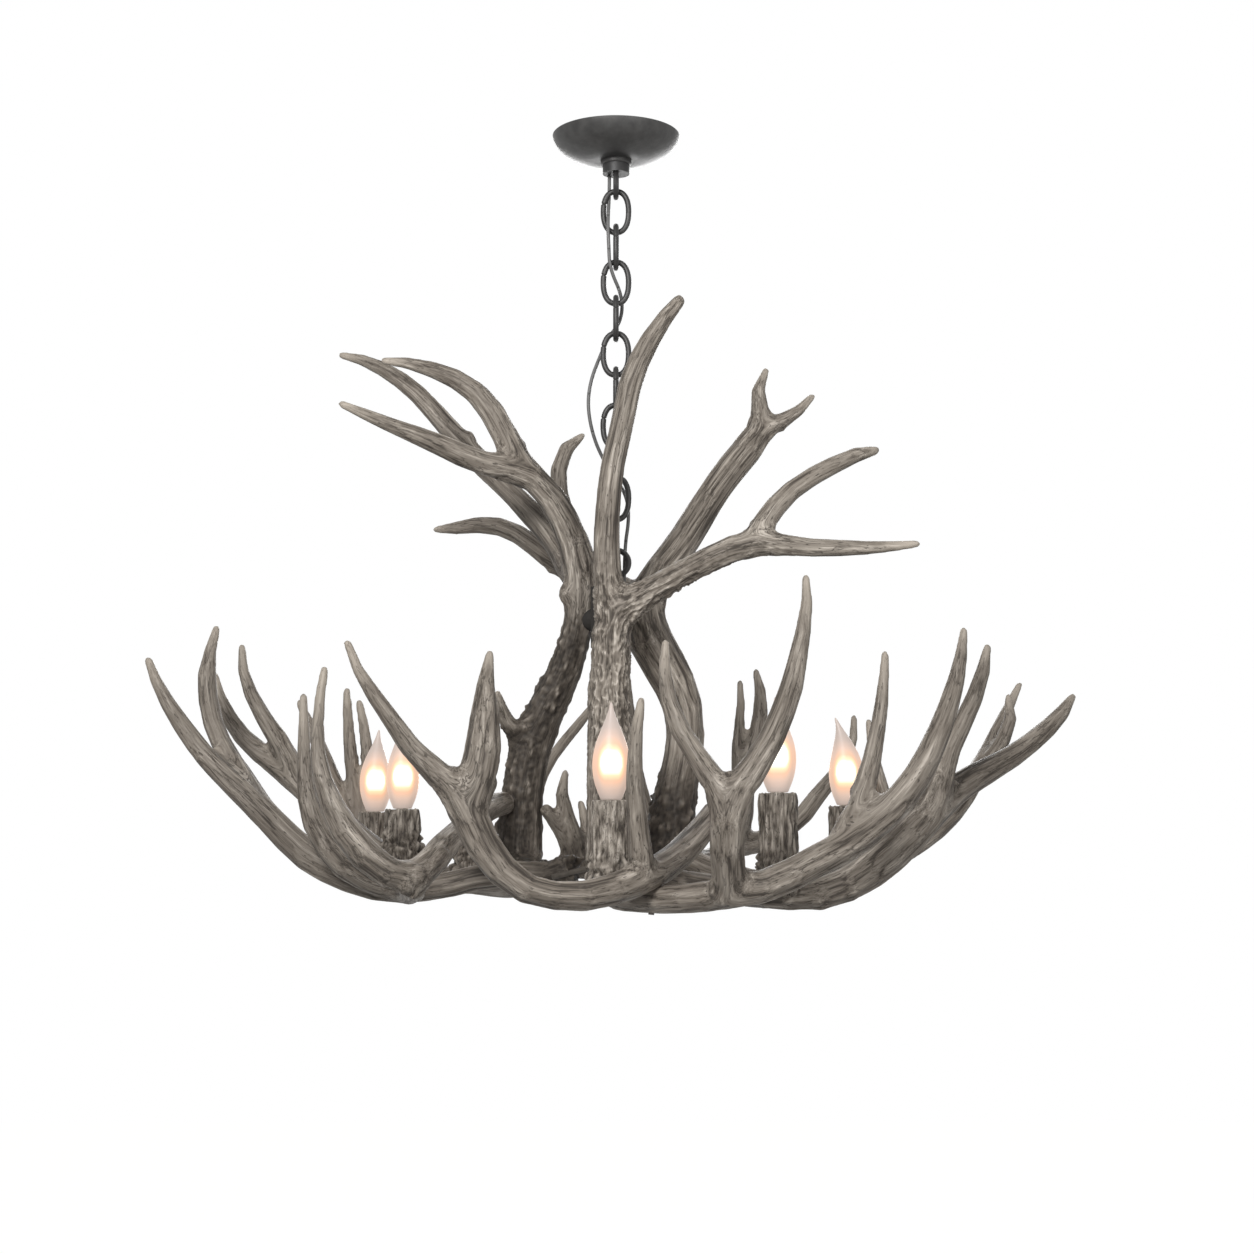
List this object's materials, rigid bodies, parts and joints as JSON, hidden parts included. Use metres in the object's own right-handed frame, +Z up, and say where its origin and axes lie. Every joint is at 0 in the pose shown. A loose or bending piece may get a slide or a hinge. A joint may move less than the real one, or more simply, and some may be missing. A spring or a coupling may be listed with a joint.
{
  "type": "antler chandelier",
  "caption": "Chain-hung chandelier of branching antlers, with candle lights on a bowl of tines and a crown of upright antlers.",
  "frame": {"origin": "on the ceiling plane, at the centre of the crossbar's two slots", "axes": "+Z up into the ceiling, +X to the viewer's right, -Y towards the viewer; the fixture hangs to negative Z"},
  "size_m": [0.8891, 0.6239, 0.7498],
  "materials": {
    "dark_pewter": "satin",
    "chain_pewter": "satin",
    "zinc_steel": "satin",
    "grey_cord": "matte",
    "hub_iron": "matte",
    "dark_bark_resin": "matte",
    "antler_resin": "matte",
    "bark_resin": "matte",
    "socket_phenolic": "matte",
    "frosted_bulb": "frosted",
    "bulb_base_nickel": "satin"
  },
  "bodies": {
    "ceiling_plate": {"canopy": "dark_pewter", "crossbar": "zinc_steel", "canopy_nipple": "zinc_steel", "nipple_nut": "zinc_steel", "collar_ring": "dark_pewter", "canopy_loop": "dark_pewter", "supply_cord": "grey_cord"},
    "link_01": {"chain_link_01": "chain_pewter"},
    "link_02": {"chain_link_02": "chain_pewter"},
    "link_03": {"chain_link_03": "chain_pewter"},
    "link_04": {"chain_link_04": "chain_pewter"},
    "link_05": {"chain_link_05": "chain_pewter"},
    "link_06": {"chain_link_06": "chain_pewter"},
    "link_07": {"chain_link_07": "chain_pewter"},
    "link_08": {"chain_link_08": "chain_pewter"},
    "link_09": {"chain_link_09": "chain_pewter"},
    "link_10": {"chain_link_10": "chain_pewter"},
    "fixture": {"fixture_loop": "dark_pewter", "waist_hub": "hub_iron", "hub_screws": "zinc_steel", "antler_screws": "zinc_steel", "lamp_nipples": "zinc_steel", "crown_antler_left": "dark_bark_resin", "crown_antler_front": "antler_resin", "crown_antler_right": "antler_resin", "bowl_antler_left": "antler_resin", "bowl_antler_front_left": "antler_resin", "bowl_antler_front": "antler_resin", "bowl_antler_front_right": "antler_resin", "bowl_antler_right": "antler_resin", "bowl_antler_right_rear": "antler_resin", "bowl_antler_back": "antler_resin", "bowl_antler_back_left": "antler_resin", "candle_cover_1": "bark_resin", "candle_cover_2": "bark_resin", "candle_cover_3": "bark_resin", "candle_cover_4": "bark_resin", "candle_cover_5": "bark_resin", "candle_cover_6": "bark_resin", "lamp_socket_1": "socket_phenolic", "lamp_socket_2": "socket_phenolic", "lamp_socket_3": "socket_phenolic", "lamp_socket_4": "socket_phenolic", "lamp_socket_5": "socket_phenolic", "lamp_socket_6": "socket_phenolic"},
    "bulb_1": {"bulb_glass_1": "frosted_bulb", "bulb_base_1": "bulb_base_nickel"},
    "bulb_2": {"bulb_glass_2": "frosted_bulb", "bulb_base_2": "bulb_base_nickel"},
    "bulb_3": {"bulb_glass_3": "frosted_bulb", "bulb_base_3": "bulb_base_nickel"},
    "bulb_4": {"bulb_glass_4": "frosted_bulb", "bulb_base_4": "bulb_base_nickel"},
    "bulb_5": {"bulb_glass_5": "frosted_bulb", "bulb_base_5": "bulb_base_nickel"},
    "bulb_6": {"bulb_glass_6": "frosted_bulb", "bulb_base_6": "bulb_base_nickel"}
  },
  "joints": [
    {"name": "link_01_sway", "type": "hinge", "parent": "ceiling_plate", "child": "link_01", "pos_m": [0, 0, -0.06112], "axis": [0, 1, 0], "range_deg": [-6, 6], "deforming": ["supply_cord"]},
    {"name": "link_02_sway", "type": "hinge", "parent": "link_01", "child": "link_02", "pos_m": [0, 0, -0.09642], "axis": [1, 0, 0], "range_deg": [-6, 6]},
    {"name": "link_03_sway", "type": "hinge", "parent": "link_02", "child": "link_03", "pos_m": [0, 0, -0.13172], "axis": [0, 1, 0], "range_deg": [-6, 6]},
    {"name": "link_04_sway", "type": "hinge", "parent": "link_03", "child": "link_04", "pos_m": [0, 0, -0.16702], "axis": [1, 0, 0], "range_deg": [-6, 6]},
    {"name": "link_05_sway", "type": "hinge", "parent": "link_04", "child": "link_05", "pos_m": [0, 0, -0.20232], "axis": [0, 1, 0], "range_deg": [-6, 6]},
    {"name": "link_06_sway", "type": "hinge", "parent": "link_05", "child": "link_06", "pos_m": [0, 0, -0.23763], "axis": [1, 0, 0], "range_deg": [-4, 4]},
    {"name": "link_07_sway", "type": "hinge", "parent": "link_06", "child": "link_07", "pos_m": [0, 0, -0.27293], "axis": [0, 1, 0], "range_deg": [-4, 4]},
    {"name": "link_08_sway", "type": "hinge", "parent": "link_07", "child": "link_08", "pos_m": [0, 0, -0.30822], "axis": [1, 0, 0], "range_deg": [-4, 4]},
    {"name": "link_09_sway", "type": "hinge", "parent": "link_08", "child": "link_09", "pos_m": [0, 0, -0.34352], "axis": [0, 1, 0], "range_deg": [-4, 4]},
    {"name": "link_10_sway", "type": "hinge", "parent": "link_09", "child": "link_10", "pos_m": [0, 0, -0.37882], "axis": [1, 0, 0], "range_deg": [-4, 4]},
    {"name": "fixture_sway", "type": "hinge", "parent": "link_10", "child": "fixture", "pos_m": [0, 0, -0.41413], "axis": [0, 1, 0], "range_deg": [-4, 4]},
    {"name": "bulb_1_lift", "type": "slide", "parent": "fixture", "child": "bulb_1", "axis": [0, 0, 1], "range_m": [0, 0.03]},
    {"name": "bulb_2_lift", "type": "slide", "parent": "fixture", "child": "bulb_2", "axis": [0, 0, 1], "range_m": [0, 0.03]},
    {"name": "bulb_3_lift", "type": "slide", "parent": "fixture", "child": "bulb_3", "axis": [0, 0, 1], "range_m": [0, 0.03]},
    {"name": "bulb_4_lift", "type": "slide", "parent": "fixture", "child": "bulb_4", "axis": [0, 0, 1], "range_m": [0, 0.03]},
    {"name": "bulb_5_lift", "type": "slide", "parent": "fixture", "child": "bulb_5", "axis": [0, 0, 1], "range_m": [0, 0.03]},
    {"name": "bulb_6_lift", "type": "slide", "parent": "fixture", "child": "bulb_6", "axis": [0, 0, 1], "range_m": [0, 0.03]}
  ]
}
